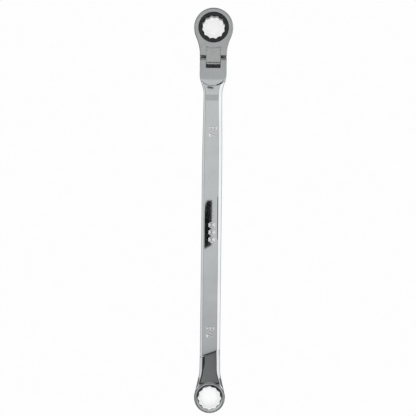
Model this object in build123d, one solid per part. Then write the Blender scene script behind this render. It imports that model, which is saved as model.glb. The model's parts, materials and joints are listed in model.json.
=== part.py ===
from build123d import *

import os
from math import cos, pi, radians, sin, sqrt, tan

# Flex-head ratcheting box wrench, in millimetres.
# The origin is the centre of the ratchet opening, halfway through the head.
# +Z leaves the marked face, and the shank runs toward -Y.

# Openings: both ends take the same hexagon
opening_flats = 22.4
opening_points = 12
lead_in = 0.5
lead_in_depth = 0.9

# Ratchet head
head_thickness = 12.7
head_wall = 4.62
head_edge_round = 1.3
neck_step = 0.05
neck_edge_round = 1.2
neck_web = 1.4
face_gap = 0.2

# Ratchet ring and its teeth
ring_wall = 3.77
tooth_count = 72
tooth_depth = 0.8
tooth_land_degrees = 1.0
tooth_overhang = 0.4
hub_step = 1.3
ring_turn = 11.5
running_gap = 0.08
axial_gap = 0.1

# Snap ring that keeps the ratchet ring in
snap_ring_depth = 1.35
snap_ring_thickness = 0.8
snap_ring_grip = 0.5
snap_ring_reach = 0.35
snap_ring_opening_degrees = 24.0
snap_ring_gap = 0.1

# Pawl, plunger and spring
pawl_width = 10.0
pawl_cover = 3.15
pawl_length = 5.2
pawl_travel = 0.9
pawl_rear_gap = 0.3
tooth_mesh_gap = 0.15
slide_gap = 0.1
plunger_radius = 1.6
plunger_length = 3.2
plunger_wall = 0.4
plunger_floor = 0.6
spring_hole_depth = 6.4
spring_wire = 0.4
spring_turns = 7
spring_gap = 0.03

# Flex joint
tongue_width = 15.8
tongue_step = 1.85
tongue_arc_margin = 1.2
tongue_overlap = 3.0
ear_thickness = 6.6
ear_side_gap = 0.2
ear_tip_gap = 1.6
slot_end_gap = 3.1
fork_proud = 0.1
screw_head_margin = 1.1
screw_head_step = 1.0
screw_running_gap = 0.05
screw_head_length = 2.3
screw_head_gap = 0.1
screw_inset = 0.3
hex_socket_flats = 3.0
hex_socket_depth = 1.5
washer_margin = 0.7
washer_recess = 0.6
washer_gap = 0.05

# Fork root
fork_root_start = 14.4
fork_root_length = 20.5
fork_root_steps = 8
bar_first_step = 3
pad_length = 27.4
pad_end_radius = 18.5

# Bar
bar_width = 22.0
bar_narrowing = 1.6
bar_thickness = 7.6
bar_bevel = 3.1
bar_side_height = 2.8
bar_widens_over = 78.0

# Cranked box end
box_distance = 408.0
bend_before_box = 50.0
crank_angle = 14.0
crank_run = 31.0
box_wall = 4.17
box_thickness = 12.0
box_edge_round = 1.6
box_taper_angle = 13.2
box_neck_widening = 0.4

# Derived sizes
tip_radius = opening_flats / sqrt(3)
valley_radius = opening_flats / 2 / cos(pi / opening_points)
ring_radius = tip_radius + ring_wall
hub_radius = ring_radius - hub_step
bore_radius = ring_radius + running_gap
head_radius = bore_radius + head_wall
box_radius = tip_radius + box_wall
pawl_height = head_thickness - 2 * pawl_cover
toothed_height = pawl_height + 2 * tooth_overhang
tongue_thickness = head_thickness - 2 * tongue_step
fork_thickness = tongue_thickness + 2 * fork_proud
fork_width = tongue_width + 2 * (ear_side_gap + ear_thickness)
tongue_round = tongue_thickness / 2
screw_head_radius = fork_thickness / 2 - screw_head_margin
screw_radius = screw_head_radius - screw_head_step
washer_radius = tongue_round - washer_margin
bar_width_at_fork = bar_width - bar_narrowing

# Derived places
ring_half_height = head_thickness / 2 - face_gap
snap_ring_height = head_thickness / 2 - snap_ring_depth
lip_top = -toothed_height / 2 - axial_gap
pawl_rear_y = -(ring_radius + pawl_length)
pocket_rear_y = pawl_rear_y - pawl_travel - pawl_rear_gap
spring_hole_y = pocket_rear_y - spring_hole_depth
plunger_bore_y = pawl_rear_y - plunger_floor
shoulder_y = spring_hole_y - neck_web
pivot_y = shoulder_y - fork_thickness / 2 - ear_tip_gap
slot_bottom_y = pivot_y - tongue_round - slot_end_gap
fork_root_y = pivot_y - fork_root_start
bar_start_y = fork_root_y - fork_root_length
bend_y = bend_before_box - box_distance
box_drop = crank_run * tan(radians(crank_angle))


def polar(radius, degrees):
    return (radius * cos(radians(degrees)), radius * sin(radians(degrees)))


def z_cylinder(radius, low, high):
    return Pos(0, 0, (low + high) / 2) * Cylinder(radius, high - low)


def x_cylinder(radius, low, high, y, z=0.0):
    return Pos((low + high) / 2, y, z) * Rot(0, 90, 0) * Cylinder(radius, high - low)


def y_cylinder(radius, low, high):
    return Pos(0, (low + high) / 2, 0) * Rot(90, 0, 0) * Cylinder(radius, high - low)


def block(low, high):
    size = [b - a for a, b in zip(low, high)]
    middle = [(a + b) / 2 for a, b in zip(low, high)]
    return Pos(*middle) * Box(*size)


def prism(points, low, high):
    """A closed outline in X and Y, raised from one height to another."""
    face = make_face(Polyline(*points, close=True))
    return Pos(0, 0, low) * extrude(face, high - low, dir=(0, 0, 1))


def opening_tool(half_height, turn=0.0):
    """Twelve-point opening: the outline of two hexagons, with a conical lead-in at each face."""
    corners = 2 * opening_points
    outline = [
        polar(tip_radius if i % 2 == 0 else valley_radius, turn + 360 * i / corners)
        for i in range(corners)
    ]
    tool = prism(outline, -half_height - 1, half_height + 1)
    mouth = tip_radius + lead_in
    slope = (mouth - valley_radius) / lead_in_depth
    for side in (1, -1):
        cone = Cone(valley_radius, mouth + slope, lead_in_depth + 1)
        cone = Pos(0, 0, half_height - lead_in_depth / 2 + 0.5) * cone
        tool += cone if side > 0 else Rot(180, 0, 0) * cone
    return tool


def tooth_outline(mesh_offset=0.0):
    """Ratchet tooth outline, with a narrow land on each tip and in each root."""
    step = 360 / tooth_count
    land = tooth_land_degrees / 2
    root_radius = ring_radius - tooth_depth
    points = []
    for i in range(tooth_count):
        start = -90 + i * step
        points.append(polar(root_radius, start - land))
        points.append(polar(root_radius, start + land))
        points.append(polar(ring_radius, start + step / 2 - land))
        points.append(polar(ring_radius, start + step / 2 + land))
    return [(x, y - mesh_offset) for x, y in points]


def ratchet_ring():
    half_teeth = toothed_height / 2
    ring = prism(tooth_outline(), -half_teeth, half_teeth)
    ring += z_cylinder(ring_radius, half_teeth, ring_half_height)
    ring += z_cylinder(hub_radius, -ring_half_height, -half_teeth)
    groove_floor = ring_radius - snap_ring_reach - snap_ring_gap
    groove_low = snap_ring_height - snap_ring_thickness / 2 - snap_ring_gap
    groove_high = snap_ring_height + snap_ring_thickness / 2 + snap_ring_gap
    groove = z_cylinder(ring_radius + 1, groove_low, groove_high)
    groove -= z_cylinder(groove_floor, groove_low, groove_high)
    return ring - groove - opening_tool(ring_half_height, ring_turn)


def snap_ring():
    """Open ring of square wire that sits in the bore's groove and reaches into the ring's."""
    low = snap_ring_height - snap_ring_thickness / 2
    high = snap_ring_height + snap_ring_thickness / 2
    ring = z_cylinder(bore_radius + snap_ring_grip, low, high)
    ring -= z_cylinder(ring_radius - snap_ring_reach, low, high)
    half_opening = snap_ring_opening_degrees / 2
    far = 2 * bore_radius
    wedge = [(0, 0), polar(far, 90 - half_opening), polar(far, 90 + half_opening)]
    return ring - prism(wedge, low - 1, high + 1)


def pawl():
    """Sliding block whose front carries the ring's tooth outline."""
    half_width = pawl_width / 2
    half_height = pawl_height / 2
    front_y = tooth_depth - ring_radius
    body = block((-half_width, pawl_rear_y, -half_height), (half_width, front_y, half_height))
    return body - prism(tooth_outline(tooth_mesh_gap), -half_height - 1, half_height + 1)


def pawl_plunger():
    """Cup that carries the front of the spring and bears on the pawl."""
    end_y = pawl_rear_y - plunger_length
    cup = y_cylinder(plunger_radius, end_y, pawl_rear_y)
    return cup - y_cylinder(plunger_radius - plunger_wall, end_y - 1, plunger_bore_y)


def pawl_spring():
    """Helical spring between the plunger's floor and the blind hole."""
    radius = plunger_radius - plunger_wall - slide_gap - spring_wire / 2
    low = spring_hole_y + spring_wire / 2 + spring_gap
    high = plunger_bore_y - spring_wire / 2 - spring_gap
    length = high - low
    path = Helix(length / spring_turns, length, radius)
    section = Plane(path @ 0, z_dir=path % 0) * Circle(spring_wire / 2)
    coil = sweep(section, path, is_frenet=True)
    return Pos(0, high, 0) * Rot(90, 0, 0) * coil


def neck_outline():
    """Head outline: two concave flares, tangent to the head's circle, that end at the shoulders."""
    half_width = fork_width / 2
    flare_radius = (half_width**2 + shoulder_y**2 - head_radius**2) / (2 * (head_radius - half_width))
    flare_x = half_width + flare_radius
    reach = head_radius / (head_radius + flare_radius)
    tangent = (flare_x * reach, shoulder_y * reach)
    bend = Vector(tangent[0] - flare_x, tangent[1] - shoulder_y).get_angle(Vector(-1, 0)) / 2
    middle = (flare_x - flare_radius * cos(radians(bend)), shoulder_y + flare_radius * sin(radians(bend)))
    right = ThreePointArc(tangent, middle, (half_width, shoulder_y))
    left = mirror(right, Plane.YZ)
    bottom = Line((half_width, shoulder_y), (-half_width, shoulder_y))
    top = Line((-tangent[0], tangent[1]), tangent)
    return make_face(Curve() + [right, left, bottom, top])


def ratchet_head():
    """Round housing, flared neck and the thinner tongue of the flex joint.

    The tongue's flats run up the neck and end in an arc round the housing.
    """
    half = head_thickness / 2
    boss = z_cylinder(head_radius, -half, half)
    boss = fillet(boss.edges().filter_by(GeomType.CIRCLE), head_edge_round)
    half_neck = half - neck_step
    neck = Pos(0, 0, -half_neck) * extrude(neck_outline(), 2 * half_neck, dir=(0, 0, 1))
    neck = fillet(neck.edges().filter_by(GeomType.CIRCLE), neck_edge_round)
    half_tongue = tongue_width / 2
    half_flat = half_tongue + ear_side_gap
    arc = z_cylinder(head_radius + tongue_arc_margin, -half - 2, half + 2)
    for low, high in ((tongue_round, half + 1), (-half - 1, -tongue_round)):
        neck -= block((-half_flat, shoulder_y - 1, low), (half_flat, 0, high)) - arc
    tongue_top = shoulder_y + tongue_overlap
    tongue = block((-half_tongue, pivot_y, -tongue_round), (half_tongue, tongue_top, tongue_round))
    tongue += x_cylinder(tongue_round, -half_tongue, half_tongue, pivot_y)
    head = boss + neck + tongue
    head -= z_cylinder(bore_radius, lip_top, half + 1)
    head -= z_cylinder(hub_radius + running_gap, -half - 1, half)
    low = snap_ring_height - snap_ring_thickness / 2
    high = snap_ring_height + snap_ring_thickness / 2
    head -= z_cylinder(bore_radius + snap_ring_grip, low, high)
    pocket_width = pawl_width / 2 + slide_gap
    pocket_height = pawl_height / 2 + slide_gap
    head -= block((-pocket_width, pocket_rear_y, -pocket_height), (pocket_width, 0, pocket_height))
    head -= y_cylinder(plunger_radius + slide_gap, spring_hole_y, pocket_rear_y + 1)
    head -= x_cylinder(screw_radius + screw_running_gap, -fork_width, fork_width, pivot_y)
    for side in (-1, 1):
        inner = half_tongue - washer_recess
        recess = x_cylinder(washer_radius + slide_gap, inner, half_tongue + 1, pivot_y)
        head -= recess if side > 0 else mirror(recess, Plane.YZ)
    return head


def friction_washer(side):
    """Washer set in the side of the tongue, a hair clear of the fork's ear."""
    inner = tongue_width / 2 - washer_recess
    outer = tongue_width / 2 + ear_side_gap - washer_gap
    washer = x_cylinder(washer_radius, inner, outer, pivot_y)
    washer -= x_cylinder(screw_radius + screw_running_gap, inner - 1, outer + 1, pivot_y)
    return washer if side > 0 else mirror(washer, Plane.YZ)


def pivot_screw():
    """Shoulder screw with a hexagon socket, its head sunk in the left ear."""
    outer = -fork_width / 2 + screw_inset
    under_head = outer + screw_head_length
    screw = x_cylinder(screw_head_radius, outer, under_head, pivot_y)
    screw += x_cylinder(screw_radius, under_head, fork_width / 2 - screw_inset, pivot_y)
    socket = extrude(RegularPolygon(hex_socket_flats / 2, 6, major_radius=False), hex_socket_depth + 1)
    screw -= Pos(outer - 1, pivot_y, 0) * Rot(0, 90, 0) * socket
    return screw


def bar_section(y, z, width, thickness, side_height):
    """Bar cross-section: a flat on each face, a bevel on each side of it and a low side edge."""
    half = width / 2
    flat = half - bar_bevel
    high = thickness / 2
    edge = side_height / 2
    quarter = [(half, edge), (flat, high), (-flat, high), (-half, edge)]
    outline = quarter + [(-x, -v) for x, v in quarter]
    plane = Plane((0, y, z), x_dir=(1, 0, 0), z_dir=(0, -1, 0))
    return plane * make_face(Polyline(*outline, close=True))


def fork_half_width(share):
    """S-shaped outline of the fork's root, from the ears (0) to the bar (1)."""
    ease = share * share * (3 - 2 * share)
    return fork_width / 2 + (bar_width_at_fork - fork_width) / 2 * ease


def fork_outline():
    """Ears, parallel sides and the S-shaped root on each side."""
    side = [(fork_width / 2, pivot_y), (fork_width / 2, fork_root_y)]
    for i in range(1, fork_root_steps + 1):
        share = i / fork_root_steps
        side.append((fork_half_width(share), fork_root_y - share * fork_root_length))
    other = [(-x, y) for x, y in reversed(side)]
    return make_face(Polyline(*side, *other, close=True))


def fork():
    """Thick pad with two ears, ending in an arc above the bar."""
    half = fork_thickness / 2
    half_width = fork_width / 2
    pad_end_y = pivot_y - pad_length
    arc_y = pad_end_y + pad_end_radius
    keep = block((-fork_width, arc_y, -half), (fork_width, pivot_y, half))
    keep += Pos(0, arc_y, 0) * Cylinder(pad_end_radius, fork_thickness)
    pad = Pos(0, 0, -half) * extrude(fork_outline(), fork_thickness, dir=(0, 0, 1))
    pad = pad & keep
    return pad + x_cylinder(half, -half_width, half_width, pivot_y)


def fork_cuts():
    """Slot for the tongue, screw hole through both ears and the sunk seat of its head."""
    half_slot = tongue_width / 2 + ear_side_gap
    slot = block((-half_slot, slot_bottom_y, -fork_thickness), (half_slot, 0, fork_thickness))
    hole = x_cylinder(screw_radius, -fork_width, fork_width, pivot_y)
    seat_end = -fork_width / 2 + screw_inset + screw_head_length
    seat = x_cylinder(screw_head_radius + screw_head_gap, -fork_width, seat_end, pivot_y)
    return slot + hole + seat


def bar():
    """Bevelled bar from the fork's root to the crank and on into the box end.

    Past the bend the sides run parallel, then flare along the tangents of the box's circle.
    """
    root = []
    for i in range(bar_first_step, fork_root_steps + 1):
        share = i / fork_root_steps
        y = fork_root_y - share * fork_root_length
        root.append(bar_section(y, 0, 2 * fork_half_width(share), bar_thickness, bar_side_height))
    wide_y = bar_start_y - bar_widens_over
    root.append(bar_section(wide_y, 0, bar_width, bar_thickness, bar_side_height))
    touch = polar(box_radius, box_taper_angle)
    touch_y = touch[1] - box_distance
    taper = tan(radians(box_taper_angle))
    neck_width = bar_width + box_neck_widening
    flare_y = touch_y + (touch[0] - neck_width / 2) / taper
    for y in sorted([bend_y, flare_y, bend_y - crank_run, touch_y], reverse=True):
        flared = 2 * (touch[0] - (y - touch_y) * taper)
        width = max(neck_width, flared) if y < bend_y else bar_width
        drop = tan(radians(crank_angle)) * min(bend_y - y, crank_run)
        root.append(bar_section(y, -drop, width, bar_thickness, bar_side_height))
    return loft(root, ruled=True)


def box_end():
    half = box_thickness / 2
    ring = z_cylinder(box_radius, -half, half)
    ring = fillet(ring.edges().filter_by(GeomType.CIRCLE), box_edge_round)
    return Pos(0, -box_distance, -box_drop) * ring


def shank():
    """One forging: fork, bar, crank and twelve-point box end."""
    body = bar() + fork() + box_end()
    body -= fork_cuts()
    return body - Pos(0, -box_distance, -box_drop) * opening_tool(box_thickness / 2)


nodes = {
    "shank": shank(),
    "ratchet_head": ratchet_head(),
    "ratchet_ring": ratchet_ring(),
    "snap_ring": snap_ring(),
    "pawl": pawl(),
    "pawl_plunger": pawl_plunger(),
    "pawl_spring": pawl_spring(),
    "pivot_screw": pivot_screw(),
    "friction_washer_left": friction_washer(-1),
    "friction_washer_right": friction_washer(1),
}

os.makedirs("parts", exist_ok=True)
for name, solid in nodes.items():
    export_step(solid, f"parts/{name}.step")
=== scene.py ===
import json
import math

import bpy
import mathutils
import numpy as np
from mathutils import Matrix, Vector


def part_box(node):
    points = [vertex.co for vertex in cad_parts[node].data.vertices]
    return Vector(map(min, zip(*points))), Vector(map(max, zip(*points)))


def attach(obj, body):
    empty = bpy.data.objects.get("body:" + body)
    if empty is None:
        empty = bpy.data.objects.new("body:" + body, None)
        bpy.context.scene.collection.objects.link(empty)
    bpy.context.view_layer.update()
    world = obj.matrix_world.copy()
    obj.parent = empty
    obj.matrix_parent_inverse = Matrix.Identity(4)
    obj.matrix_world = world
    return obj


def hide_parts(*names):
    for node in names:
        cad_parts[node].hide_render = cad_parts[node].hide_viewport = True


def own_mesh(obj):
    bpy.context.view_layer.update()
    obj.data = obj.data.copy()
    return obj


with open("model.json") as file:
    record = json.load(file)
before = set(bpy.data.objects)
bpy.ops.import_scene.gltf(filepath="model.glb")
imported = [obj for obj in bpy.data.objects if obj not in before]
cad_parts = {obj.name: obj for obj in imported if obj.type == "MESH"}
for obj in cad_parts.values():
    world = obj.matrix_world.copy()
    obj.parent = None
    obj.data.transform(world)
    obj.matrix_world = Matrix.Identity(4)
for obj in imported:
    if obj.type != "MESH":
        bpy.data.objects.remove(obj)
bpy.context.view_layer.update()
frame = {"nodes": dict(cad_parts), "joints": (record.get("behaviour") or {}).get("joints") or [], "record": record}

# A flex-head ratcheting box wrench. Shapes are worked out in millimetres and stored in metres.
# +Z leaves the marked face, +Y points from the shank to the ratchet head.
MM = 0.001

# ---------------------------------------------------------------- sizes taken from the frame

head_low, head_high = [np.array(corner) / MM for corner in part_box("ratchet_head")]
ring_high = np.array(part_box("ratchet_ring")[1]) / MM
shank_low, shank_high = [np.array(corner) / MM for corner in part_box("shank")]
screw_low, screw_high = [np.array(corner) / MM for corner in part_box("pivot_screw")]
spring_low, spring_high = [np.array(corner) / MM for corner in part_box("pawl_spring")]
joints = {joint["name"]: joint for joint in frame["joints"]}
mounts = {mount["name"]: mount for mount in frame["record"]["mounts"]}

pivot_y = joints["head_flex"]["pos_m"][1] / MM
box_y, box_z = [value / MM for value in mounts["box_end_drive"]["pos_m"][1:]]
head_radius = head_high[0]
head_half = head_high[2]
ring_radius = ring_high[0]
ring_half = ring_high[2]
box_radius = shank_high[0]
box_half = box_z - shank_low[2]
fork_half = shank_high[2]
tongue_half = pivot_y - head_low[1]
screw_head_radius = screw_high[2]

# ---------------------------------------------------------------- sizes of the surfaces
# Widths of the tongue, slot, ears, pocket and bar are measured from the middle line.

# Twelve-point openings
opening_flats = 22.4
opening_tips = 12
tip_radius = opening_flats / math.sqrt(3)
lead_in = 0.5
lead_in_depth = 0.9
mouth_radius = tip_radius + lead_in
ring_turn = 11.5

# Ratchet ring and its bore
running_gap = 0.08
axial_gap = 0.1
tooth_count = 72
tooth_depth = 0.8
tooth_half_height = 3.6
hub_radius = 15.4
bore_radius = ring_radius + running_gap
lip_top = -tooth_half_height - axial_gap
neck_bore_radius = 18.6
snap_groove_depth = 0.5
snap_groove_low, snap_groove_high = 4.6, 5.4

# Neck, tongue and flex joint
shoulder_y = pivot_y + 6.2
tongue_width = 7.9
ear_width = 14.7
slot_width = 8.1
slot_end_gap = 3.1
slot_bottom_y = pivot_y - tongue_half - slot_end_gap
strip_radius = head_radius + 1.2
screw_head_step = 1.0
screw_head_length = 2.3
screw_head_gap = 0.1
screw_running_gap = 0.05
screw_radius = screw_head_radius - screw_head_step
washer_recess_radius = 3.9
washer_recess = 0.6

# Pawl's pocket and the spring's hole
pocket_width, pocket_half_height = 5.1, 3.3
pocket_front_y, pocket_rear_y = -10.0, -23.1
spring_hole_y = -29.5
plunger_radius = 1.6
slide_gap = 0.1

# Fork's root and its pad, which rolls off toward an arc
root_start_y = pivot_y - 14.4
root_end_y = root_start_y - 20.5
pad_end_y = pivot_y - 27.4
pad_arc = 18.5
pad_roll = 7.0
pad_fall = 0.45
pad_edge = 0.35
pad_bevel = 2.6
pad_side_drop = 1.5
ear_bevel = 0.5

# Bar, with a short dip behind the pad
bar_narrow = 10.2
bar_wide = 11.0
bar_widens_over = 78.0
bar_half = 3.8
bar_bevel = 3.1
bar_side = 1.4
bevel_slope = 0.774
lean_at_fork = -0.9
lean_gain = 0.00145
lean_start_y = -75.0
dip_depth = 0.42
dip_ramp = 6.0
dip_end_y = -80.0

# Crank and box end
bend_y = -358.0
bend_slant = 0.38
bend_softness = 1.0
level_y = bend_y - 34.0
swell, swell_over = 0.2, 12.0
flat_gain, flat_gain_over = 0.9, 18.0
flat_gain_y = -375.0
roll_width = 5.0
roll_fall = 0.62
right_roll_width = 1.8
right_roll_share = 0.5
box_taper = math.radians(13.2)
taper_softness = 0.8
box_round = 1.7
box_crown = 0.8

# Cutters reach well past the faces that they cut.
cutter_half = 9.0
drill_reach = 20.0


def ease(value):
    """Smooth step: 0 below 0, 1 above 1, and 3t squared less 2t cubed between."""
    t = np.clip(value, 0.0, 1.0)
    return t * t * (3 - 2 * t)


def soft_ramp(value, width):
    """0 below 0 and the value itself above, joined by a hyperbola of about that width."""
    return 0.5 * (value + np.sqrt(value * value + width * width))


# ---------------------------------------------------------------- meshes

def surface(name, points, wrap_u=False, capped=False):
    """Mesh of a grid of points [u, v, xyz] in millimetres.

    Each cell of the grid is one quad. Each row is a closed loop, wrap_u joins the last row to
    the first, and capped closes the first and last rows with one face each. The faces are
    turned to point outwards: the signed volumes that they make with the origin add up to more
    than zero.
    """
    rows, columns = points.shape[:2]
    index = np.arange(rows * columns).reshape(rows, columns)
    if wrap_u:
        index = np.vstack([index, index[:1]])
    index = np.hstack([index, index[:, :1]])
    quads = np.stack([index[:-1, :-1], index[:-1, 1:], index[1:, 1:], index[1:, :-1]], axis=-1)
    quads = quads.reshape(-1, 4)
    flat = points.reshape(-1, 3)
    a, b, c, d = (flat[quads[:, k]] for k in range(4))
    volume = np.sum(np.cross(a, b) * c) + np.sum(np.cross(a, c) * d)
    caps = [index[0, :-1][::-1].tolist(), index[-1, :-1].tolist()] if capped else []
    for cap in caps:
        ring = flat[cap]
        volume += np.sum(np.cross(ring[0], ring[1:-1]) * ring[2:])
    if volume < 0:
        quads = quads[:, ::-1]
        caps = [cap[::-1] for cap in caps]
    mesh = bpy.data.meshes.new(name)
    mesh.from_pydata((flat * MM).tolist(), [], quads.tolist() + caps)
    mesh.update()
    piece = bpy.data.objects.new(name, mesh)
    bpy.context.scene.collection.objects.link(piece)
    return piece


def rounded_sections(corners, radii, fills=0, steps=5):
    """Rounds each corner of a row of closed outlines.

    corners is [station, corner, 2], counter-clockwise, and radii has one value for each corner.
    A corner becomes an arc: its centre lies on the bisector, radius / sin(half angle) from the
    corner, and the arc's points turn from the normal of one side to the normal of the next. An
    arc takes at most half of the shorter side. fills adds that many even points to each side.
    """
    back = np.roll(corners, 1, axis=1) - corners
    ahead = np.roll(corners, -1, axis=1) - corners
    back_length = np.linalg.norm(back, axis=2, keepdims=True)
    ahead_length = np.linalg.norm(ahead, axis=2, keepdims=True)
    back, ahead = back / back_length, ahead / ahead_length
    cosine = np.sum(back * ahead, axis=2, keepdims=True)
    sine = np.sqrt((1 - cosine) / 2)
    room = 0.49 * np.minimum(back_length, ahead_length) * sine / np.sqrt((1 + cosine) / 2)
    radii = np.minimum(np.broadcast_to(radii, corners.shape[:2])[..., None], room)
    bisector = back + ahead
    bisector = bisector / np.linalg.norm(bisector, axis=2, keepdims=True)
    centre = corners + bisector * radii / sine
    first = np.stack([-back[..., 1], back[..., 0]], axis=2)
    last = np.stack([ahead[..., 1], -ahead[..., 0]], axis=2)
    share = np.linspace(0, 1, steps)[:, None]
    normal = first[:, :, None] * (1 - share) + last[:, :, None] * share
    normal = normal / np.linalg.norm(normal, axis=3, keepdims=True)
    arcs = centre[:, :, None] + normal * radii[:, :, None]
    fills = np.broadcast_to(fills, corners.shape[1])
    rows = []
    for k, count in enumerate(fills):
        end, start = arcs[:, k, -1:], arcs[:, (k + 1) % len(fills), :1]
        even = np.arange(1, count + 1)[:, None] / (count + 1)
        rows += [arcs[:, k], end * (1 - even) + start * even]
    return np.concatenate(rows, axis=1)


def eight_corners(half_width, flat, half_height, side, lean=0.0):
    """Corners of a bar section: a flat on each face, a bevel at each of its edges, a low side.

    lean moves both flats sideways, which makes one bevel wider than the other. The wider bevel
    reaches farther down, so that both keep their slope.
    """
    near, far = lean + flat, lean - flat
    low, high = side + bevel_slope * lean, side - bevel_slope * lean
    right = [(half_width, -low), (half_width, low), (near, half_height), (far, half_height)]
    left = [(-half_width, high), (-half_width, -high), (far, -half_height), (near, -half_height)]
    corners = [np.stack(np.broadcast_arrays(*corner), axis=-1) for corner in right + left]
    return np.stack(corners, axis=1)


def combine(piece, operation, *tools):
    """Boolean of closed pieces, written into the piece's mesh. The tools are removed."""
    for tool in tools:
        step = piece.modifiers.new("combine", "BOOLEAN")
        step.operation = operation
        step.object = tool
        step.solver = "EXACT"
    graph = bpy.context.evaluated_depsgraph_get()
    mesh = bpy.data.meshes.new_from_object(piece.evaluated_get(graph))
    piece.modifiers.clear()
    piece.data = mesh
    mesh.name = piece.name
    for tool in tools:
        bpy.data.objects.remove(tool)
    return piece


def shade(piece, sharp_degrees=32):
    """Smooth shading, with edges sharper than the angle left sharp."""
    mesh = piece.data
    mesh.shade_smooth()
    mesh.set_sharp_from_angle(angle=math.radians(sharp_degrees))


def turned(name, grid, angles):
    """Ring: at each angle in degrees, a closed outline of (radius, z) stands on the ray from Z."""
    grid = np.broadcast_to(grid, (len(angles),) + np.shape(grid)[-2:])
    cosine, sine = np.cos(np.radians(angles))[:, None], np.sin(np.radians(angles))[:, None]
    points = np.stack([grid[..., 0] * cosine, grid[..., 0] * sine, grid[..., 1]], axis=-1)
    return surface(name, points, wrap_u=True)


def rounded_profile(corners, radii, steps=6):
    """One closed outline of (radius, z) with each corner rounded."""
    return rounded_sections(np.array([corners], float), np.array(radii, float), steps=steps)[0]


def rod(name, radius, low, high, y=None, sides=64):
    """Cylinder along X at that y, or along Y where no y is given: a circle at each end, capped."""
    angle = np.linspace(0, 2 * math.pi, sides, endpoint=False)
    across, up, zero = radius * np.cos(angle), radius * np.sin(angle), 0 * angle
    if y is None:
        ends = [np.stack([across, zero + place, up], axis=-1) for place in (low, high)]
    else:
        ends = [np.stack([zero + place, across + y, up], axis=-1) for place in (low, high)]
    return surface(name, np.stack(ends), capped=True)


def brick(name, low, high):
    """Box between two corners, as two rectangles one above the other."""
    x = np.array([low[0], high[0], high[0], low[0]])
    y = np.array([low[1], low[1], high[1], high[1]])
    rows = [np.stack([x, y, np.full(4, z)], axis=-1) for z in (low[2], high[2])]
    return surface(name, np.stack(rows), capped=True)


# ---------------------------------------------------------------- openings

def opening_radius(angles, turn=0.0):
    """Radius of the twelve-point opening: half the flats / cos(30 degrees - angle from a tip).

    30 degrees is half of what one side of a hexagon spans.
    """
    step, half_side = 360 / opening_tips, 30
    offset = np.abs((np.asarray(angles) - turn + step / 2) % step - step / 2)
    return opening_flats / 2 / np.cos(np.radians(half_side - offset))


def opening_wall(angles, half, turn=0.0):
    """The opening's wall [angle, point, (radius, z)], from the mouth at the top to the bottom one.

    The lead-in is a cone from the mouth radius at the face. It meets the wall where the cone's
    radius equals the wall's, so it cuts deeper between two tips than at a tip.
    """
    wall = opening_radius(angles, turn)
    valley = opening_flats / 2 / math.cos(math.radians(180 / opening_tips))
    depth = half - (mouth_radius - wall) * lead_in_depth / (mouth_radius - valley)
    mouth = np.full_like(wall, mouth_radius)
    top = np.stack([mouth, 0 * wall + half], axis=-1)
    middle = [np.stack([wall, share * depth], axis=-1) for share in np.linspace(1, -1, 7)]
    bottom = np.stack([mouth, 0 * wall - half], axis=-1)
    return np.stack([top, *middle, bottom], axis=1)


def opening_angles(turn, extra=()):
    """Angles that include every tip and every valley of the opening, and any extra ones."""
    step = 360 / opening_tips
    own = turn + np.arange(0, 360, step / 12)
    return np.unique(np.round(np.concatenate([own, np.asarray(extra, float)]) % 360, 6))


# ---------------------------------------------------------------- shank

def bar_outline(y):
    """Half width along the bar: an S-curve out of the fork, a slow swelling, then the box's taper.

    The taper is a straight line that touches the box's circle.
    """
    root_share = ease((root_start_y - y) / (root_start_y - root_end_y))
    width = ear_width + (bar_narrow - ear_width) * root_share
    width = width + (bar_wide - bar_narrow) * ease((root_end_y - y) / bar_widens_over)
    width = width + swell * ease((bend_y - y) / swell_over)
    touch_x, touch_y = box_radius * math.cos(box_taper), box_radius * math.sin(box_taper)
    taper = touch_x - (y - box_y - touch_y) * math.tan(box_taper)
    return width + soft_ramp(taper - width, taper_softness)


def bar_flat_edge(y):
    """Half width of the flat: the outline less the bevel, which narrows a little at the box."""
    return bar_outline(y) - bar_bevel + flat_gain * ease((flat_gain_y - y) / flat_gain_over)


def flat_lean(y):
    """Place of the flat's middle: to the left of the bar's middle line, less so toward the box."""
    return lean_at_fork + lean_gain * (lean_start_y - y)


def bar_height(y):
    """Half thickness: lower in the short dip behind the fork's pad, then constant."""
    return bar_half - dip_depth * np.clip((y - dip_end_y) / dip_ramp, 0, 1)


def crank_drop(x, y):
    """Drop of the middle line: level, then down from the slanting bend, then level at the box."""
    start = bend_y + bend_slant * x
    run = soft_ramp(start - y, bend_softness) - soft_ramp(level_y - y, bend_softness)
    return box_z * run / (start - level_y)


def slope_roll(x, y, z):
    """Lowers the slope's upper face along its edges: fall times the square of the way in.

    The way in runs from 0 at the roll's inner line to 1 at the flat's edge. The left roll is
    wide at the bend and narrow at the box, and the right one is narrow all along. Both begin
    within a short onset at the slanting bend.
    """
    onset_lead, onset = 0.6, 1.6
    narrowing, narrows_after, narrows_over = 0.62, 6.0, 13.0
    start = bend_y + bend_slant * x
    share = ease((start + onset_lead - y) / onset) * (z > 0)
    edge, lean = bar_flat_edge(y), flat_lean(y)
    left_width = roll_width * (1 - narrowing * ease((start - narrows_after - y) / narrows_over))
    left = np.clip(1 - (x - lean + edge) / left_width, 0, 1) * np.sqrt(left_width / roll_width)
    right = np.clip(1 - (edge + lean - x) / right_roll_width, 0, 1) * right_roll_share
    return roll_fall * share * (left**2 + right**2)


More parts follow.
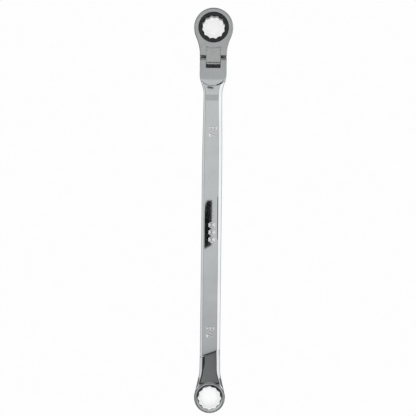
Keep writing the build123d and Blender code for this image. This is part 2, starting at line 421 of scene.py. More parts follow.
def section_rows(middle, blend, arc_of, outline, flat_edge, height, side, radii, fills,
                 lean=np.zeros_like):
    """Rows of bevelled sections along Y, whose last ones bend into an arc.

    A point's y is middle (1 - blend) + blend arc(x). The outline's width is read at the y of
    its own side, and the flat's width at the y of its own edge, by repeating the two steps.
    lean gives the sideways place of the flats at each row's middle.
    """
    def along(x):
        shape = (-1,) + (1,) * (np.ndim(x) - 1)
        share = blend.reshape(shape)
        return middle.reshape(shape) * (1 - share) + share * arc_of(x)

    side_x, flat_x = np.full(len(middle), ear_width), np.full(len(middle), ear_width - bar_bevel)
    for _ in range(8):
        side_x, flat_x = outline(along(side_x)), flat_edge(along(flat_x))
    corners = eight_corners(side_x, flat_x, height(along(flat_x)), side(along(side_x)), lean(middle))
    section = rounded_sections(corners, radii, fills)
    return section, along(section[..., 0])


def make_bar():
    """Bar from inside the fork's pad to inside the wall of the box, on the crank's middle line.

    Rows stand close together at the dip and in the crank, and far apart between. The last ones
    bend into a circle inside the box's wall, y = box + sqrt(r squared less x squared).
    """
    start_y, plain_y, crank_y, turn_y = pad_end_y + 12, dip_end_y - 3, bend_y + 9, level_y + 14
    end_radius = box_radius - 1.1
    inside_fork = 0.04
    straight = np.concatenate([np.arange(start_y, plain_y, -0.5), np.arange(plain_y, crank_y, -5.0),
                               np.arange(crank_y, turn_y, -0.4)])
    bends = np.linspace(0, 1, 80)
    middle = np.concatenate([straight, np.full(len(bends), turn_y)])
    blend = np.concatenate([0 * straight, bends])
    section, y = section_rows(
        middle, blend,
        lambda x: box_y + np.sqrt(np.clip(end_radius**2 - x * x, 0, None)),
        lambda y: bar_outline(y) - inside_fork, bar_flat_edge, bar_height,
        lambda y: bar_side + 0 * y, radii=1.2, fills=(1, 4, 24, 4, 1, 4, 24, 4), lean=flat_lean)
    x, z = section[..., 0], section[..., 1]
    z = z + crank_drop(x, y) - slope_roll(x, y, z)
    return surface("shank", np.stack([x, y, z], axis=-1), capped=True)


def make_fork():
    """Fork blank: round tips about the pivot, flat cheeks, and a pad that rolls off into an arc.

    Rows run from the tips, where the half height is r sin(a) at pivot + r cos(a), to the arc.
    Toward the arc the face falls away as a parabola, then turns down through a small quarter
    circle. The bevel along each side widens from the ears to the arc.
    """
    angle = np.radians(np.linspace(1.5, 90, 26))
    tip_y, tip_height = pivot_y + fork_half * np.cos(angle), fork_half * np.sin(angle)
    turn_y = root_start_y
    bends = np.linspace(0, 1, 44)
    arc_centre = pad_end_y + pad_arc
    arc_of = lambda x: arc_centre - np.sqrt(np.clip(pad_arc**2 - x * x, 0, None))
    reach = turn_y - pad_end_y
    from_end = reach * (1 - bends)
    rolled = fork_half - pad_fall * np.clip(1 - from_end / pad_roll, 0, 1) ** 2
    quarter = np.radians(np.linspace(0, 90, 8))
    edge_height = fork_half - pad_fall - pad_edge * (1 - np.cos(quarter))
    edge_share = 1 + pad_edge / reach * (np.sin(quarter) - 1)
    keep = from_end > pad_edge
    last_height, least_side = 1.6, 0.3
    middle = np.concatenate([tip_y, np.full(keep.sum() + len(quarter) + 1, turn_y)])
    blend = np.concatenate([0 * tip_y, bends[keep], edge_share, [1.0]])
    height = np.concatenate([tip_height, rolled[keep], edge_height, [last_height]])
    growth = lambda y: ease((root_start_y - y) / (root_start_y - pad_end_y + 3))
    section, y = section_rows(
        middle, blend, arc_of, bar_outline,
        lambda y: bar_outline(y) - ear_bevel - pad_bevel * growth(y),
        lambda y: height,
        lambda y: np.maximum(height - ear_bevel - pad_side_drop * growth(y), least_side * height),
        radii=0.6, fills=(3, 2, 12, 2, 3, 2, 12, 2))
    points = np.stack([section[..., 0], y, section[..., 1]], axis=-1)
    return surface("fork_blank", points, capped=True)


def make_box():
    """Box end: a crowned wall round the twelve-point wall.

    The crown is |r|^p + |z|^p = 1 on its own scale, with p = 2 / box_crown. So r is the cosine
    of a half turn to the power box_crown, and z is its sine to that power.
    """
    angles = opening_angles(0.0)
    face_radius = box_radius - box_round
    turn = np.radians(np.linspace(-90, 90, 41))
    radius = face_radius + (box_radius - face_radius) * np.cos(turn) ** box_crown
    z = box_half * np.sign(np.sin(turn)) * np.abs(np.sin(turn)) ** box_crown
    outer = np.stack([radius, z], axis=-1)
    grid = np.concatenate([np.broadcast_to(outer, (len(angles),) + outer.shape),
                           opening_wall(angles, box_half)], axis=1)
    box = turned("box_blank", grid, angles)
    box.data.transform(mathutils.Matrix.Translation((0, box_y * MM, box_z * MM)))
    return box


def make_shank():
    """The whole forging: bar, fork and box as one body, with the slot and the screw's hole cut."""
    shank = combine(make_bar(), "UNION", make_fork(), make_box())
    slot = brick("slot", (-slot_width, slot_bottom_y, -cutter_half),
                 (slot_width, pivot_y + cutter_half, cutter_half))
    hole = rod("hole", screw_radius, -drill_reach, drill_reach, pivot_y)
    seat_end = screw_low[0] + screw_head_length
    seat = rod("seat", screw_head_radius + screw_head_gap, -drill_reach, seat_end, pivot_y)
    return combine(shank, "DIFFERENCE", slot, hole, seat)


# ---------------------------------------------------------------- ratchet head

def make_neck():
    """Neck: its sides are arcs tangent to the head's circle, and its end is the two shoulders.

    The shoulders' edges turn through a quarter circle, by which width and height shrink.
    """
    edge, bevel, below_face, sides = 0.5, 0.7, 0.03, 40
    flare = (ear_width**2 + shoulder_y**2 - head_radius**2) / (2 * (head_radius - ear_width))
    centre_x = ear_width + flare
    start_y = shoulder_y * head_radius / (head_radius + flare)
    quarter = np.radians(np.linspace(0, 90, 7))[1:]
    y = np.concatenate([np.linspace(start_y, shoulder_y + edge, sides),
                        shoulder_y + edge * (1 - np.sin(quarter))])
    shrink = np.concatenate([np.zeros(sides), edge * (1 - np.cos(quarter))])
    width = centre_x - np.sqrt(flare**2 - (y - shoulder_y) ** 2) - shrink
    height = head_half - below_face - shrink
    corners = eight_corners(width, width - bevel, height, height - bevel)
    section = rounded_sections(corners, 1.2, (2, 2, 10, 2, 2, 2, 10, 2))
    y = np.broadcast_to(y[:, None], section.shape[:2])
    return surface("neck", np.stack([section[..., 0], y, section[..., 1]], axis=-1), capped=True)


def make_strip(name, low, high):
    """Cutter for the tongue's flat on the neck: it ends in an arc round the housing."""
    margin = 0.25
    reach = np.linspace(-tongue_width - margin, tongue_width + margin, 25)
    arc_y = -np.sqrt(strip_radius**2 - reach**2)
    x = np.concatenate([reach, reach[::-1]])
    y = np.concatenate([arc_y, 0 * arc_y + shoulder_y - 3])
    rows = [np.stack([x, y, 0 * x + z], axis=-1) for z in (low, high)]
    return surface(name, np.stack(rows), capped=True)


def make_tongue():
    """Tongue: straight, then half height r cos(a) at pivot - r sin(a) round its end."""
    below_face, bevel, least_side = 0.02, 0.35, 0.3
    thickness = tongue_half - below_face
    angle = np.radians(np.linspace(0, 88.5, 26))
    straight = np.linspace(shoulder_y + 11.5, pivot_y + 0.3, 8)
    y = np.concatenate([straight, pivot_y - thickness * np.sin(angle)])
    height = np.concatenate([np.full(len(straight), thickness), thickness * np.cos(angle)])
    width = np.full(len(y), tongue_width)
    side = np.maximum(height - bevel, least_side * height)
    corners = eight_corners(width, width - bevel, height, side)
    section = rounded_sections(corners, bevel, (3, 1, 8, 1, 3, 1, 8, 1))
    y = np.broadcast_to(y[:, None], section.shape[:2])
    return surface("tongue", np.stack([section[..., 0], y, section[..., 1]], axis=-1), capped=True)


def make_head():
    """Housing, neck and tongue as one body, with the pawl's pocket and the screw's hole cut."""
    angles = np.arange(0, 360, 2.0)
    half, groove, hub_bore = head_half, bore_radius + snap_groove_depth, hub_radius + running_gap
    corners = [(head_radius, -half), (head_radius, half), (bore_radius, half),
               (bore_radius, snap_groove_high), (groove, snap_groove_high),
               (groove, snap_groove_low), (bore_radius, snap_groove_low), (bore_radius, lip_top),
               (hub_bore, lip_top), (hub_bore, -half)]
    outer_round, mouth_round, sharp = 1.5, 0.25, 0.02
    radii = [outer_round, outer_round, mouth_round] + 6 * [sharp] + [mouth_round]
    housing = turned("ratchet_head", rounded_profile(corners, radii), angles)
    near_axis = 0.01
    bore_corners = [(near_axis, -cutter_half), (neck_bore_radius, -cutter_half),
                    (neck_bore_radius, cutter_half), (near_axis, cutter_half)]
    bore = turned("bore", np.array(bore_corners), angles)
    strip_floor = tongue_half - 0.2
    strips = [make_strip("strip", -cutter_half, -strip_floor),
              make_strip("strip", strip_floor, cutter_half)]
    neck = combine(make_neck(), "DIFFERENCE", bore, *strips)
    head = combine(housing, "UNION", neck, make_tongue())
    pocket = brick("pocket", (-pocket_width, pocket_rear_y, -pocket_half_height),
                   (pocket_width, pocket_front_y, pocket_half_height))
    hole = rod("hole", screw_radius + screw_running_gap, -drill_reach, drill_reach, pivot_y)
    recess_floor, outside = tongue_width - washer_recess, 10.0
    recesses = [rod("recess", washer_recess_radius, -outside, -recess_floor, pivot_y),
                rod("recess", washer_recess_radius, recess_floor, outside, pivot_y)]
    hole_radius = plunger_radius + slide_gap
    spring_hole = rod("spring_hole", hole_radius, spring_hole_y, pocket_rear_y + 1)
    return combine(head, "DIFFERENCE", pocket, hole, spring_hole, *recesses)


def make_ring():
    """Ratchet ring: hub, toothed band and grooved rim outside, the twelve-point wall inside.

    A tooth is straight-sided between its root land and its tip land, one degree wide each.
    """
    half_land, chamfer, edge_step = 0.5, 0.3, 0.1
    groove_depth, groove_low, groove_high = 0.45, 4.5, 5.5
    step = 360 / tooth_count
    roots = -90 + np.arange(tooth_count) * step
    tips = roots + step / 2
    lands = np.concatenate([roots - half_land, roots + half_land, tips - half_land, tips + half_land])
    angles = opening_angles(ring_turn, lands)
    phase = (angles + 90 + half_land) % step - half_land
    way_up = np.minimum(phase - half_land, step - half_land - phase) / (step / 2 - 2 * half_land)
    tooth = ring_radius - tooth_depth * (1 - np.clip(way_up, 0, 1))
    floor = ring_radius - groove_depth
    hub = [(hub_radius - chamfer, -ring_half), (hub_radius, -ring_half + chamfer),
           (hub_radius, -tooth_half_height)]
    rim = [(ring_radius, tooth_half_height), (ring_radius, groove_low), (floor, groove_low),
           (floor, groove_high), (ring_radius, groove_high), (ring_radius, ring_half - chamfer),
           (ring_radius - edge_step, ring_half - edge_step), (ring_radius - chamfer, ring_half)]
    spread = lambda points: np.broadcast_to(np.array(points), (len(angles), len(points), 2))
    teeth = np.stack([np.stack([tooth, 0 * tooth - tooth_half_height], axis=-1),
                      np.stack([tooth, 0 * tooth + tooth_half_height], axis=-1)], axis=1)
    wall = opening_wall(angles, ring_half, ring_turn)
    grid = np.concatenate([spread(hub), teeth, spread(rim), wall], axis=1)
    return turned("ratchet_ring", grid, angles)


def make_spring():
    """Coil spring: a circle carried along a helix about Y, on its own normal and binormal."""
    wire, turns = 0.2, 7
    radius = spring_high[0] - wire
    turn = np.linspace(0, 2 * math.pi * turns, 24 * turns + 1)[:, None]
    start, end = spring_low[1] + wire, spring_high[1] - wire
    rise = (end - start) / (2 * math.pi * turns)
    out = np.concatenate([np.cos(turn), 0 * turn, np.sin(turn)], axis=1)
    tangent = np.concatenate([-radius * np.sin(turn), rise + 0 * turn, radius * np.cos(turn)], axis=1)
    tangent = tangent / np.linalg.norm(tangent, axis=1, keepdims=True)
    binormal = np.cross(tangent, out)
    around = np.linspace(0, 2 * math.pi, 10, endpoint=False)[None, :, None]
    path = radius * out + np.concatenate([0 * turn, start + rise * turn, 0 * turn], axis=1)
    circle = np.cos(around) * out[:, None] + np.sin(around) * binormal[:, None]
    return surface("pawl_spring", path[:, None] + wire * circle, capped=True)


# ---------------------------------------------------------------- marks

def raised_line(name, path, closed=False, foot=0.80, top=0.36, height=0.26, depth=0.12):
    """Raised stroke on the bar's face: a trapezoid carried along a path of (x, y) points.

    Each point moves sideways along the path's own normal, which is its tangent turned by 90
    degrees. foot and top are half widths. The stroke's top stands that height above the face,
    with its edges broken, and its foot lies that depth below.
    """
    break_in, break_down = 0.1, 0.06
    path = np.asarray(path, float)
    if closed:
        tangent = np.roll(path, -1, axis=0) - np.roll(path, 1, axis=0)
    else:
        tangent = np.gradient(path, axis=0)
    tangent = tangent / np.linalg.norm(tangent, axis=1, keepdims=True)
    normal = np.stack([-tangent[:, 1], tangent[:, 0]], axis=1)
    sides = np.array([-foot, -top, -top + break_in, top - break_in, top, foot])
    levels = np.array([-depth, height - break_down, height, height, height - break_down, -depth])
    across = path[:, None] + normal[:, None] * sides[None, :, None]
    z = np.broadcast_to(bar_half + levels, across.shape[:2])
    points = np.concatenate([across, z[..., None]], axis=2)
    return surface(name, points, wrap_u=closed, capped=not closed)


def numerals(name, centre):
    """The size, 7/8, read from the box end toward the head: each glyph is one or two strokes."""
    def place(points):
        points = np.asarray(points, float)
        return np.stack([centre[0] - points[:, 1], centre[1] + points[:, 0]], axis=1)

    def line(*corners):
        corners = np.array(corners, float)
        corner_steps = np.arange(len(corners))
        steps = np.linspace(0, len(corners) - 1, 12 * (len(corners) - 1) + 1)
        return np.stack([np.interp(steps, corner_steps, corners[:, k]) for k in (0, 1)], axis=1)

    def oval(middle, radii):
        turn = np.linspace(0, 2 * math.pi, 36, endpoint=False)
        x, y = middle[0] + radii[0] * np.cos(turn), middle[1] + radii[1] * np.sin(turn)
        return np.stack([x, y], axis=1)

    strokes = [
        raised_line(name, place(line((-5.7, 3.5), (-1.9, 3.5)))),
        raised_line("stroke", place(line((-2.1, 3.4), (-4.6, -3.6)))),
        raised_line("stroke", place(line((-1.9, -3.8), (1.3, 3.8)))),
        raised_line("stroke", place(oval((3.9, 1.85), (1.45, 1.6))), closed=True),
        raised_line("stroke", place(oval((3.9, -1.75), (1.65, 1.85))), closed=True),
    ]
    return combine(strokes[0], "UNION", *strokes[1:])


def nut_sign(name, centre):
    """Plain sign of a nut on the bar: a raised hexagon round a raised circle.

    The hexagon's radius is half its flats / cos(angle from the middle of a side).
    """
    half_flats, circle_radius = 2.8, 1.35
    turn = np.linspace(0, 2 * math.pi, 48, endpoint=False)
    from_flat = (turn + math.pi / 6) % (math.pi / 3) - math.pi / 6
    hexagon = half_flats / np.cos(from_flat)
    around = np.stack([np.cos(turn), np.sin(turn)], axis=1)
    outer = raised_line(name, np.array(centre) + around * hexagon[:, None], closed=True)
    inner = raised_line("circle", np.array(centre) + around * circle_radius, closed=True,
                        foot=0.62, top=0.16)
    return combine(outer, "UNION", inner)


# ---------------------------------------------------------------- materials

def colour(hex_value):
    """sRGB hex to linear: c / 12.92 below 0.04045, ((c + 0.055) / 1.055) to the 2.4 above."""
    values = [int(hex_value[k:k + 2], 16) / 255 for k in (1, 3, 5)]
    return tuple(c / 12.92 if c <= 0.04045 else ((c + 0.055) / 1.055) ** 2.4 for c in values) + (1.0,)


def add(tree, kind, settings=None, links=None):
    """Adds a node, sets its properties or inputs by name, and links its inputs."""
    node = tree.nodes.new(kind)
    for key, value in (settings or {}).items():
        if isinstance(key, str) and hasattr(node, key):
            setattr(node, key, value)
        else:
            node.inputs[key].default_value = value
    for key, source in (links or {}).items():
        tree.links.new(source, node.inputs[key])
    return node


def blank_material(name):
    """New material with an empty node tree, that tree, and the place on the piece in metres."""
    material = bpy.data.materials.new(name)
    material.use_nodes = True
    tree = material.node_tree
    tree.nodes.clear()
    return material, tree, add(tree, "ShaderNodeTexCoord").outputs["Object"]


def scaled(tree, source, low, high, start, end):
    """Straight scale from low..high to start..end, held at its ends."""
    limits = {"From Min": low, "From Max": high, "To Min": start, "To Max": end}
    return add(tree, "ShaderNodeMapRange", limits, {"Value": source}).outputs["Result"]


def choose(tree, operation, first, second):
    """The smaller or the larger of two numbers: operation is MINIMUM or MAXIMUM."""
    node = add(tree, "ShaderNodeMath", {"operation": operation}, {0: first, 1: second})
    return node.outputs["Value"]


def two_tones(tree, source, dark, light, low=0.0, high=1.0):
    """Colour that runs from dark at low to light at high."""
    ramp = add(tree, "ShaderNodeValToRGB", {}, {"Fac": source})
    for element, reach, tone in zip(ramp.color_ramp.elements, (low, high), (dark, light)):
        element.position = reach
        element.color = colour(tone)
    return ramp.outputs["Color"]


def metal(name, light, dark, rough_low, rough_high, grain_mm, grain_depth_mm, stretch=(1, 1, 1),
          patch_mm=14.0, metallic=1.0, wave_mm=0.0, wave_depth_mm=0.0, satin=None):
    """Metal whose tone and roughness drift in patches and whose surface has a fine grain.

    The patches are noise some millimetres across. The grain is noise of its real size,
    stretched along the direction of polishing. A wave adds the slow ripple of hand polishing.
    satin gives (low, high, roughness): between two places along Y, in millimetres, the finish
    is rougher by that much and a tenth duller. It fades in over the first millimetres inside.
    """
    material, tree, place = blank_material(name)
    patch = add(tree, "ShaderNodeTexNoise",
                {"Scale": 1 / (patch_mm * MM), "Detail": 4.0, "Roughness": 0.6}, {"Vector": place})
    stretched = add(tree, "ShaderNodeMapping", {"Scale": stretch}, {"Vector": place})
    grain = add(tree, "ShaderNodeTexNoise",
                {"Scale": 1 / (grain_mm * MM), "Detail": 3.0, "Roughness": 0.55},
                {"Vector": stretched.outputs["Vector"]})
    grain_share = 0.45
    blend = add(tree, "ShaderNodeMath", {"operation": "MULTIPLY_ADD", 1: grain_share, 2: 0.0},
                {0: grain.outputs["Fac"]})
    mix = add(tree, "ShaderNodeMath", {"operation": "MULTIPLY_ADD", 1: 1 - grain_share},
              {0: patch.outputs["Fac"], 2: blend.outputs["Value"]})
    tone = mix.outputs["Value"]
    tint = two_tones(tree, tone, dark, light, 0.32, 0.68)
    rough = scaled(tree, tone, 0.3, 0.7, rough_low, rough_high)
    if satin:
        low, high, extra = satin
        fade_low, fade_high, dullest = 2.5, -0.8, 0.90
        y = add(tree, "ShaderNodeSeparateXYZ", {}, {"Vector": place}).outputs["Y"]
        above_low = scaled(tree, y, low * MM, (low + fade_low) * MM, 0.0, 1.0)
        below_high = scaled(tree, y, high * MM, (high + fade_high) * MM, 0.0, 1.0)
        band = choose(tree, "MINIMUM", above_low, below_high)
        rough = add(tree, "ShaderNodeMath", {"operation": "MULTIPLY_ADD", 1: extra},
                    {0: band, 2: rough}).outputs["Value"]
        dull = scaled(tree, band, 0.0, 1.0, 1.0, dullest)
        tint = add(tree, "ShaderNodeVectorMath", {"operation": "SCALE"},
                   {0: tint, "Scale": dull}).outputs["Vector"]
    bump = add(tree, "ShaderNodeBump", {"Strength": 1.0, "Distance": grain_depth_mm * MM},
               {"Height": grain.outputs["Fac"]})
    if wave_mm:
        wave = add(tree, "ShaderNodeTexNoise", {"Scale": 1 / (wave_mm * MM), "Detail": 1.0},
                   {"Vector": place})
        bump = add(tree, "ShaderNodeBump", {"Strength": 1.0, "Distance": wave_depth_mm * MM},
                   {"Height": wave.outputs["Fac"], "Normal": bump.outputs["Normal"]})
    skin = add(tree, "ShaderNodeBsdfPrincipled", {"Metallic": metallic},
               {"Base Color": tint, "Roughness": rough, "Normal": bump.outputs["Normal"]})
    add(tree, "ShaderNodeOutputMaterial", {}, {"Surface": skin.outputs["BSDF"]})
    return material


def polished_chrome():
    """Bright nickel-chrome plate over a polished forging: mirror-like, with a faint slow ripple
    and hairline polishing marks along the bar. The fork's cheeks are duller than the bar."""
    return metal("polished_chrome_plate", "#d6d9da", "#c9cccd", 0.015, 0.035, 0.35, 0.00012,
                 stretch=(1, 0.05, 1), patch_mm=22.0, wave_mm=9.0, wave_depth_mm=0.0018,
                 satin=(-58.5, -35.4, 0.24))


def satin_chrome():
    """Satin chrome plate over a blasted forging: an even soft sheen with a speckle of fine pits."""
    return metal("satin_chrome_plate", "#d8dada", "#bfc2c2", 0.27, 0.40, 0.45, 0.012, patch_mm=5.0)


def marks_painted_bright():
    """Raised marks rubbed bright by a fine abrasive, with a painted highlight:
    the near-white colour makes them paler than the plate round them. They are softer too.
    """
    return metal("rubbed_nickel_painted_bright", "#ffffff", "#f2f4f3", 0.12, 0.18, 0.3, 0.002, patch_mm=3.0)


def black_oxide():
    """Oiled black oxide on steel: almost black, with a dull sheen and slightly paler rubbed spots."""
    return metal("black_oxide_steel", "#505153", "#2c2d30", 0.24, 0.40, 0.25, 0.004,
                 patch_mm=3.0, metallic=0.75)


def spring_steel():
    """Drawn and hardened spring steel: bright grey, with fine drawing marks."""
    return metal("drawn_spring_steel", "#a4a5a6", "#8b8c8e", 0.22, 0.36, 0.2, 0.003, patch_mm=2.0)


def dress(piece, material, body, slot, *nodes):
    """Gives a piece its finish, the body it moves with and the CAD nodes it stands for. slot is not used."""
    piece.data.materials.clear()
    piece.data.materials.append(material)
    shade(piece)
    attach(piece, body)
    if nodes:
        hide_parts(*nodes)


# ---------------------------------------------------------------- the object

chrome, satin, oxide, steel = polished_chrome(), satin_chrome(), black_oxide(), spring_steel()
# The raised marks get a near-white colour, which is a painted highlight.
rubbed = marks_painted_bright()

dress(make_shank(), chrome, "shank", "polished_chrome", "shank")
dress(make_head(), satin, "head", "satin_chrome", "ratchet_head")
dress(make_ring(), oxide, "ring", "black_oxide_steel", "ratchet_ring")
dress(numerals("size_mark_head_end", (0.4, -114.4)), rubbed, "shank", "satin_chrome")
dress(numerals("size_mark_box_end", (0.0, -334.6)), rubbed, "shank", "satin_chrome")
for number, sign_y in enumerate((-217.0, -225.0, -233.0), 1):
    dress(nut_sign(f"nut_sign_{number}", (0.4, sign_y)), rubbed, "shank", "satin_chrome")

spring = make_spring()
dress(spring, steel, "head", "spring_steel", "pawl_spring")
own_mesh(spring)

finishes = {"black_oxide_steel": oxide, "spring_steel": steel,
            "polished_chrome": chrome, "satin_chrome": satin}
for part in frame["record"]["subparts"]:
    node = frame["nodes"][part["node"]]
    for place in node.material_slots:
        place.material = finishes[part["material_slot"]]

# ---------------------------------------------------------------- stage, light and camera
# The camera's sizes are in millimetres, as the object's are, and the stage's are in metres.

camera_height = 1200.0
camera_x, camera_y = -3.95, -198.3
camera_roll = math.radians(0.65)
view_width = 456.6

floor_z = shank_low[2] * MM
floor_reach = 9.0
below_floor = 0.0005
ceiling_z = 2.5
light_x, light_end_y = 1.9, -3.5
wall_radius, wall_top = 8.8, 12.0
disc_radius, disc_drop = 13.0, 0.2
# Boxes under the slot and the gaps beside the tongue, where the floor's painted shade is deeper,
# in metres: y of the middle, half width, half length.
hinge_painted_shade_boxes = ((-0.041, 0.0088, 0.0050), (-0.0300, 0.0138, 0.0020))
fibres = {"Scale": 90.0, "Detail": 4.0}


def glow(name, axis, stops):
    """Lamp cover: white light whose strength follows the place along one axis.

    stops are (place in metres, strength) pairs, joined by straight runs.
    """
    material, tree, place = blank_material(name)
    split = add(tree, "ShaderNodeSeparateXYZ", {}, {"Vector": place})
    low, high = stops[0][0], stops[-1][0]
    share = scaled(tree, split.outputs[axis], low, high, 0.0, 1.0)
    ramp = add(tree, "ShaderNodeValToRGB", {}, {"Fac": share})
    for _ in stops[2:]:
        ramp.color_ramp.elements.new(0.5)
    for element, (reach, strength) in zip(ramp.color_ramp.elements, stops):
        element.position = (reach - low) / (high - low)
        element.color = (strength, strength, strength, 1)
    light = add(tree, "ShaderNodeEmission", {"Strength": 1.0}, {"Color": ramp.outputs["Color"]})
    add(tree, "ShaderNodeOutputMaterial", {}, {"Surface": light.outputs["Emission"]})
    return material


def table_top():
    """Matt grey table: the metal mirrors it and is lit by it, under the white paper."""
    material, tree, place = blank_material("matt_grey_board")
    fibre = add(tree, "ShaderNodeTexNoise", fibres, {"Vector": place})
    tint = two_tones(tree, fibre.outputs["Fac"], "#a6a6a6", "#b0b0b0")
    skin = add(tree, "ShaderNodeBsdfPrincipled", {"Roughness": 0.9}, {"Base Color": tint})
    add(tree, "ShaderNodeOutputMaterial", {}, {"Surface": skin.outputs["BSDF"]})
    return material


def floor_paper():
    """White paper that glows evenly, with painted shade where something stands close over it.

    The painted shade follows the share of the sky that the paper sees. It starts only well under
    the tool, so the outline stays clean. Under the hinge's narrow slot and gaps it is painted
    deeper, in fixed boxes. It fades out over a short way round them.
    """
    material, tree, place = blank_material("white_paper")
    sky = add(tree, "ShaderNodeAmbientOcclusion", {"samples": 6, "Distance": 0.05}).outputs["AO"]
    shade = scaled(tree, sky, 0.08, 0.31, 0.10, 1.0)
    slot_shade = scaled(tree, sky, 0.58, 0.76, 0.02, 1.0)
    fade_x, fade_y = 0.0014, 0.0026
    # Painted shadow: in each box the shade is painted deeper, with a fade round its edges.
    for centre_y, half_x, half_y in hinge_painted_shade_boxes:
        moved = add(tree, "ShaderNodeVectorMath",
                    {"operation": "SUBTRACT", 1: (0, centre_y, 0)}, {0: place})
        near = add(tree, "ShaderNodeVectorMath", {"operation": "ABSOLUTE"}, {0: moved.outputs["Vector"]})
        split = add(tree, "ShaderNodeSeparateXYZ", {}, {"Vector": near.outputs["Vector"]})
        outside_x = scaled(tree, split.outputs["X"], half_x, half_x + fade_x, 0.0, 1.0)
        outside_y = scaled(tree, split.outputs["Y"], half_y, half_y + fade_y, 0.0, 1.0)
        outside = choose(tree, "MAXIMUM", outside_x, outside_y)
        shade = choose(tree, "MINIMUM", shade, choose(tree, "MAXIMUM", slot_shade, outside))
    fibre = add(tree, "ShaderNodeTexNoise", fibres, {"Vector": place})
    tint = two_tones(tree, fibre.outputs["Fac"], "#fcfcfc", "#ffffff")
    # The paper's glow is its tint times the painted shade.
    light = add(tree, "ShaderNodeEmission", {}, {"Color": tint, "Strength": shade})
    add(tree, "ShaderNodeOutputMaterial", {}, {"Surface": light.outputs["Emission"]})
    return material


def panel(name, corners, material, seen_by_camera=False):
    """Stage piece through its corners, in metres: seen by the camera only, or by all but it."""
    mesh = bpy.data.meshes.new(name)
    mesh.from_pydata(corners, [], [list(range(len(corners)))])
    mesh.materials.append(material)
    piece = bpy.data.objects.new(name, mesh)
    bpy.context.scene.collection.objects.link(piece)
    piece.visible_camera = seen_by_camera
    for ray in ("diffuse", "glossy", "transmission", "shadow"):
        setattr(piece, f"visible_{ray}", not seen_by_camera)
    return piece


def upright(name, start, end, low, high, material):
    """Upright panel over a line on the floor, from one height to another."""
    return panel(name, [(*start, low), (*end, low), (*end, high), (*start, high)], material)


def overhead(name, low_x, high_x, low_y, high_y, material):
    """Level panel at the ceiling's height, facing down."""
    corners = [(low_x, high_y), (high_x, high_y), (high_x, low_y), (low_x, low_y)]
    return panel(name, [(*corner, ceiling_z) for corner in corners], material)


corner_signs = ((-1, -1), (1, -1), (1, 1), (-1, 1))
square = [(floor_reach * x, floor_reach * y, floor_z) for x, y in corner_signs]
panel("floor", square, floor_paper(), seen_by_camera=True)
panel("table", [(x, y, z - below_floor) for x, y, z in square], table_top())

around = np.radians(np.arange(0, 360, 10))

# Lit paper under each opening, which the walls of the openings mirror.
for name, centre_y in (("paper_under_head", 0.0), ("paper_under_box", box_y)):
    disc = np.stack([disc_radius * np.cos(around), centre_y + disc_radius * np.sin(around),
                     0 * around + floor_z / MM - disc_drop], axis=-1)
    panel(name, (disc * MM).tolist(), glow(name, "Y", [(-1.0, 1.1), (1.0, 1.1)]))

# A wide soft light overhead and a narrower, dimmer one toward the box end. The wide one fades
# where the two come near each other.
overhead("ceiling_light", -1.35, 1.35, -1.1, 3.0,
         glow("wide_cloth", "Y", [(-1.1, 0.06), (-0.97, 0.14), (-0.84, 0.34), (-0.66, 0.60),
                                  (-0.3, 0.76), (0.1, 0.78), (0.21, 0.77), (0.29, 0.60),
                                  (1.2, 0.56), (3.0, 0.5)]))
overhead("rear_light", -0.15, 0.95, -3.4, -1.6,
         glow("narrow_cloth", "Y", [(-3.4, 0.34), (-2.6, 0.27), (-2.0, 0.22), (-1.6, 0.12)]))
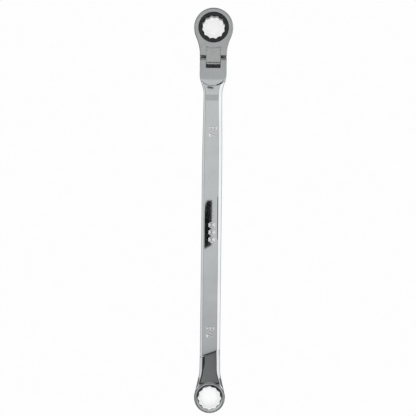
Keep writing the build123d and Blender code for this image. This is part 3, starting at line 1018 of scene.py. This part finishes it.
# Lights on all sides. Those beside the bar are bright below and dim above, and the right one
# is the brighter: the right bevel mirrors it.
upright("left_light", (-light_x, -1.7), (-light_x, 1.2), 0.02, 2.4,
        glow("left_cloth", "Z", [(0.0, 0.9), (1.1, 0.95), (1.2, 0.35), (2.4, 0.35)]))
upright("right_light", (light_x, -1.7), (light_x, 1.2), 0.02, 2.4,
        glow("right_cloth", "Z", [(0.0, 1.0), (0.35, 1.35), (1.1, 1.35), (1.2, 0.35), (2.4, 0.35)]))
upright("end_light", (-light_x, light_end_y), (light_x, light_end_y), 0.1, 2.6,
        glow("end_cloth", "Z", [(0.1, 0.9), (2.6, 0.8)]))
for side in (-1, 1):
    upright(f"near_light_{side}", (light_x * side, light_end_y), (light_x * side, -1.75), 0.1, 2.6,
            glow(f"near_cloth_{side}", "Z", [(0.1, 0.55), (2.6, 0.55)]))
    upright(f"far_light_{side}", (light_x * side, 1.3), (1.2 * side, 3.2), 0.3, 1.6,
            glow(f"far_cloth_{side}", "Z", [(0.3, 0.5), (1.6, 0.5)]))

black = bpy.data.materials.new("camera_black")
black.use_nodes = True
black.node_tree.nodes["Principled BSDF"].inputs["Base Color"].default_value = colour("#050505")
# The camera's own body, its strap lug and its boom, which the bar mirrors. The outlines are in
# millimetres from the lens. The cards stand just below the lens, which doesn't see them.
card_rise = 0.002
card_z = camera_height * MM + card_rise
cards = {"camera_body": [(8.8, 17), (-1.6, 17), (-6.6, 7), (-9.6, -16), (-11.6, -93), (8.8, -81)],
         "camera_lug": [(-4.6, 263), (8.6, 261), (8.6, 265.5), (-4.6, 267.5)],
         "camera_boom": [(63, 26), (653, 26), (653, -69), (63, -69)]}
for name, outline in cards.items():
    corners = [((camera_x + x) * MM, (camera_y + y) * MM, card_z) for x, y in outline]
    card = panel(name, corners, black)
    card.visible_shadow = False
    card.visible_diffuse = False

# White wall all round, far off, which only the camera sees.
wall_x, wall_y = wall_radius * np.cos(around), wall_radius * np.sin(around)
wall = np.stack([np.stack([wall_x, wall_y, 0 * around + z], axis=-1) for z in (floor_z, wall_top)])
backdrop = surface("backdrop", wall / MM)
backdrop.data.materials.append(glow("white_wall", "Z", [(0.0, 1.0), (wall_top, 0.96)]))
for ray in ("diffuse", "glossy", "transmission", "shadow"):
    setattr(backdrop, f"visible_{ray}", False)

world = bpy.data.worlds.new("studio")
world.use_nodes = True
world.node_tree.nodes["Background"].inputs["Color"].default_value = (0.045, 0.045, 0.047, 1)
bpy.context.scene.world = world
bpy.context.scene.view_settings.view_transform = "Standard"

camera_data = bpy.data.cameras.new("camera")
camera_data.sensor_width = 36.0
camera_data.lens = camera_data.sensor_width * camera_height / view_width
camera = bpy.data.objects.new("camera", camera_data)
camera.location = (camera_x * MM, camera_y * MM, (camera_height + bar_half) * MM)
camera.rotation_euler = (0, 0, camera_roll)
bpy.context.scene.collection.objects.link(camera)
bpy.context.scene.camera = camera
